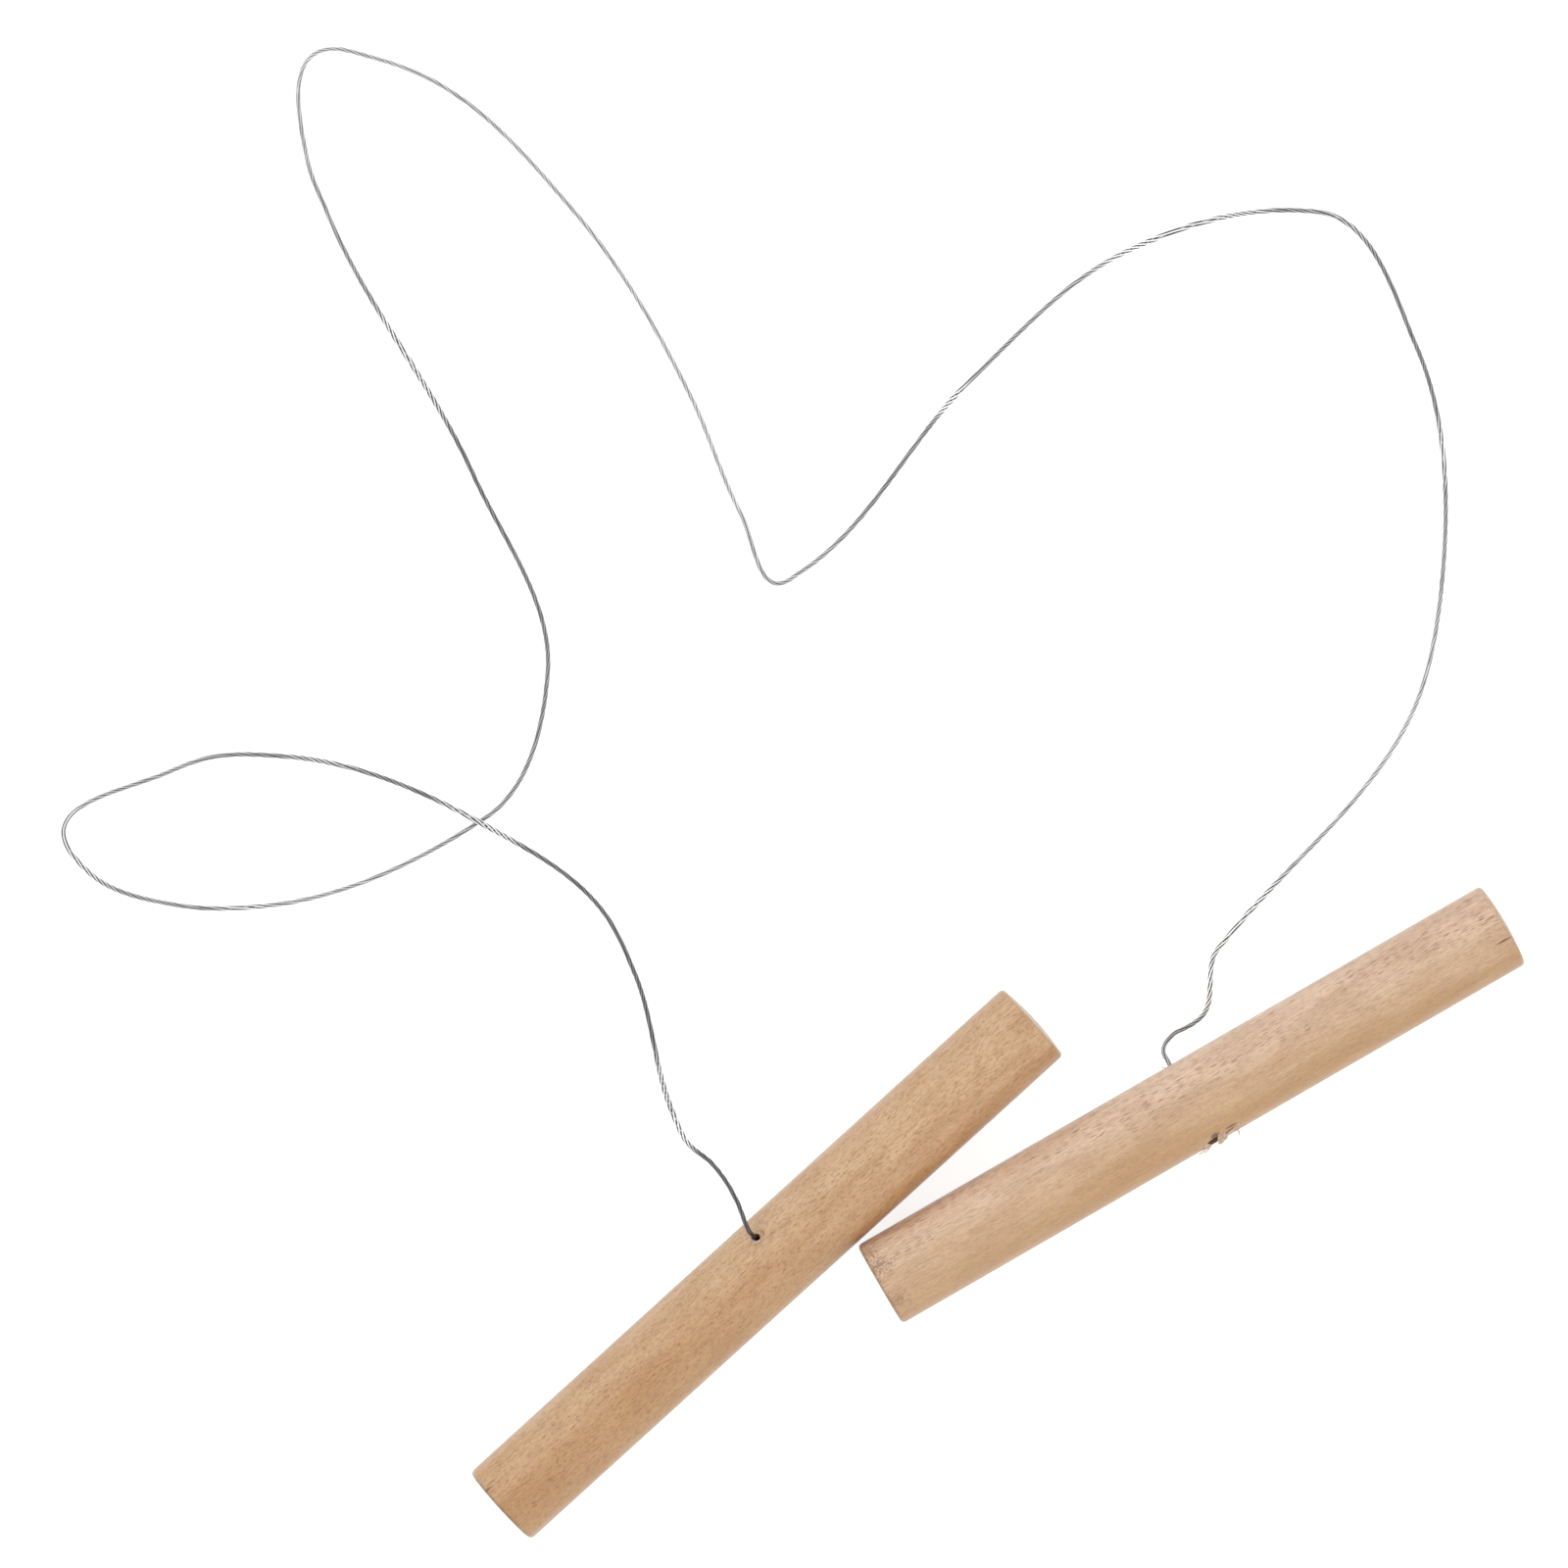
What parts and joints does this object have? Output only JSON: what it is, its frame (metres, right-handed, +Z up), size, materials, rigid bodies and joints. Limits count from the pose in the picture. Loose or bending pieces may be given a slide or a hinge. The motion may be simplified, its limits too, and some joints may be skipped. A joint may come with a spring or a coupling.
{
  "type": "clay cutter",
  "caption": "Pottery clay cutter: a free length of twisted steel wire between plain wooden dowel handles, knotted inside a drilled hole through each.",
  "frame": {"origin": "on the table, under the middle of the box round both handles", "axes": "+Z up from the table that the cutter lies on; +X to the right and +Y away, as in a view from straight above"},
  "size_m": [0.1543, 0.1573, 0.01],
  "materials": {
    "handle_wood": "bare sanded dowel",
    "steel_wire": "twisted strands, semi-bright"
  },
  "bodies": {
    "wire": {"cutting_wire": "steel_wire", "wire_knot_left": "steel_wire", "wire_knot_right": "steel_wire"},
    "left_handle": {"handle_left": "handle_wood"},
    "right_handle": {"handle_right": "handle_wood"}
  },
  "joints": [
    {"name": "left_handle_swivel", "type": "hinge", "parent": "wire", "child": "left_handle", "pos_m": [-0.02373, -0.00478, 0.00475], "axis": [-0.4143, 0.4554, 0.788], "range_deg": [0, 95]},
    {"name": "right_handle_swivel", "type": "hinge", "parent": "wire", "child": "right_handle", "pos_m": [0.0204, 0.01137, 0.00475], "axis": [-0.4851, 0.8403, -0.2419], "continuous": true}
  ]
}
